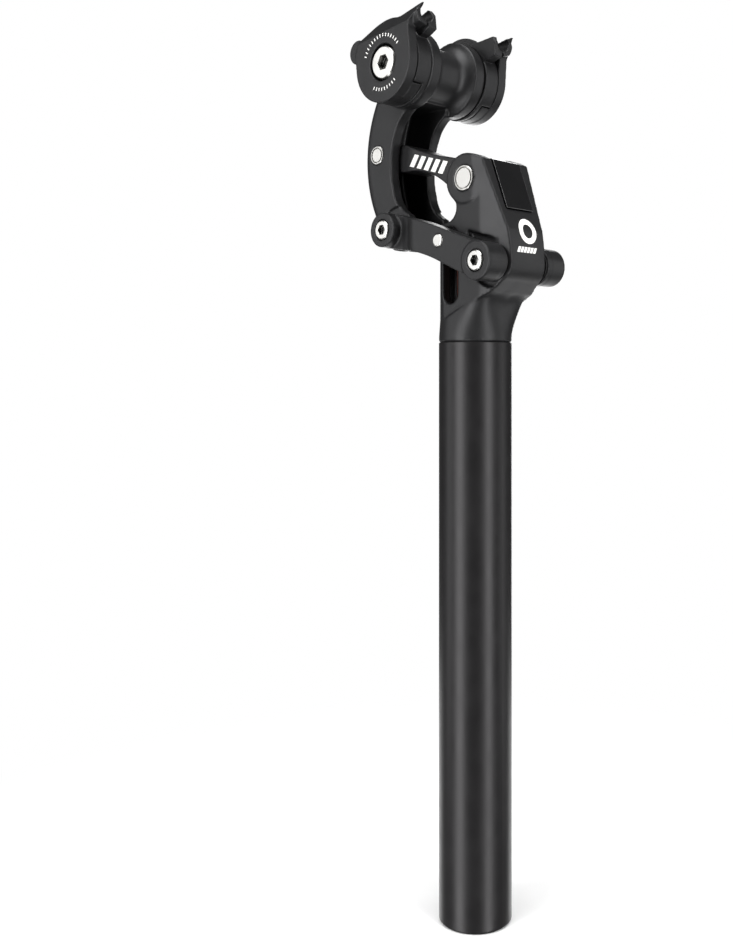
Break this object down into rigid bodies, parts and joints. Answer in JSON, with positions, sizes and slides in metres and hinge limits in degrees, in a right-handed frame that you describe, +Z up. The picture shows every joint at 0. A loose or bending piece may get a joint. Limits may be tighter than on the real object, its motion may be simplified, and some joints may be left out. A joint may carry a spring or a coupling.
{
  "type": "suspension seatpost",
  "caption": "Parallelogram-linkage suspension seatpost: round tube, forged head, two link pairs and a curved arm with a tilting twin-rail saddle clamp.",
  "frame": {"origin": "on the tube's axis, at the joint where the head meets the tube", "axes": "+X forward, towards the handlebar; +Y to the rider's left; +Z up along the tube's axis"},
  "size_m": [0.087, 0.0592, 0.3837],
  "materials": {
    "anodised_tube": "satin black anodised",
    "forged_black": "bead-blasted black anodised",
    "gloss_cover": "gloss",
    "zinc_steel": "bright zinc",
    "ground_steel": "ground",
    "black_steel": "black oxide",
    "spring_steel": "oil-tempered",
    "bush_polymer": "satin",
    "plunger_polymer": "satin",
    "guide_polymer": "satin",
    "elastomer": "matte"
  },
  "bodies": {
    "post": {"post_tube": "anodised_tube", "post_head": "forged_black", "upper_fixed_pin": "ground_steel", "front_cover": "gloss_cover", "near_lower_fixed_bush": "bush_polymer", "far_lower_fixed_bush": "bush_polymer", "guide_sleeve": "guide_polymer", "top_out_bumper": "elastomer", "spring_seat": "forged_black", "main_spring": "spring_steel", "damping_elastomer": "elastomer"},
    "preload": {"preload_plug": "forged_black"},
    "plunger": {"plunger": "plunger_polymer"},
    "lower_link": {"near_lower_arm": "forged_black", "far_lower_arm": "forged_black", "lower_fixed_axle": "ground_steel", "lower_moving_axle": "ground_steel", "near_fixed_axle_screw": "zinc_steel", "far_fixed_axle_screw": "zinc_steel", "near_moving_axle_screw": "zinc_steel", "far_moving_axle_screw": "zinc_steel", "press_pin": "ground_steel"},
    "roller": {"press_roller": "ground_steel"},
    "upper_link": {"upper_link": "forged_black", "upper_fixed_bush": "bush_polymer", "upper_moving_bush": "bush_polymer"},
    "clamp_arm": {"clamp_arm": "forged_black", "upper_moving_pin": "ground_steel", "near_lower_moving_bush": "bush_polymer", "far_lower_moving_bush": "bush_polymer", "clamp_bolt": "zinc_steel", "clamp_nut": "zinc_steel", "near_clamp_washer": "black_steel", "far_clamp_washer": "black_steel"},
    "near_saddle_clamp": {"near_cradle": "forged_black", "near_cap": "forged_black"},
    "far_saddle_clamp": {"far_cradle": "forged_black", "far_cap": "forged_black"}
  },
  "joints": [
    {"name": "lower_link_swing", "type": "hinge", "parent": "post", "child": "lower_link", "pos_m": [0.022, 0, 0.0315], "axis": [0, -1, 0], "range_deg": [0, 42], "stiffness_Nm_per_rad": 60, "springref_deg": -1.72},
    {"name": "upper_link_swing", "type": "hinge", "parent": "post", "child": "upper_link", "pos_m": [0.0078, 0, 0.0669], "axis": [0, -1, 0], "range_deg": [0, 42]},
    {"name": "clamp_arm_turn", "type": "hinge", "parent": "lower_link", "child": "clamp_arm", "pos_m": [-0.0332, 0, 0.0485], "axis": [0, -1, 0], "range_deg": [-42, 0]},
    {"name": "plunger_slide", "type": "slide", "parent": "post", "child": "plunger", "axis": [0, 0, -1], "range_m": [0, 0.0173], "deforming": ["main_spring", "damping_elastomer"]},
    {"name": "press_roller_spin", "type": "hinge", "parent": "lower_link", "child": "roller", "pos_m": [0, 0, 0.0413], "axis": [0, -1, 0], "continuous": true},
    {"name": "preload_turn", "type": "hinge", "parent": "post", "child": "preload", "pos_m": [0, 0, -0.233], "axis": [0, 0, 1], "continuous": true},
    {"name": "near_saddle_tilt", "type": "hinge", "parent": "clamp_arm", "child": "near_saddle_clamp", "pos_m": [-0.026, 0, 0.118], "axis": [0, -1, 0], "range_deg": [-27, 13]},
    {"name": "far_saddle_tilt", "type": "hinge", "parent": "clamp_arm", "child": "far_saddle_clamp", "pos_m": [-0.026, 0, 0.118], "axis": [0, -1, 0], "range_deg": [-16.5, 23.5]}
  ],
  "couplings": [
    {"joint": "upper_link_swing", "follows": "lower_link_swing", "ratio": 1},
    {"joint": "clamp_arm_turn", "follows": "lower_link_swing", "ratio": -1},
    {"joint": "plunger_slide", "follows": "lower_link_swing", "m_per_rad": 0.0235}
  ]
}
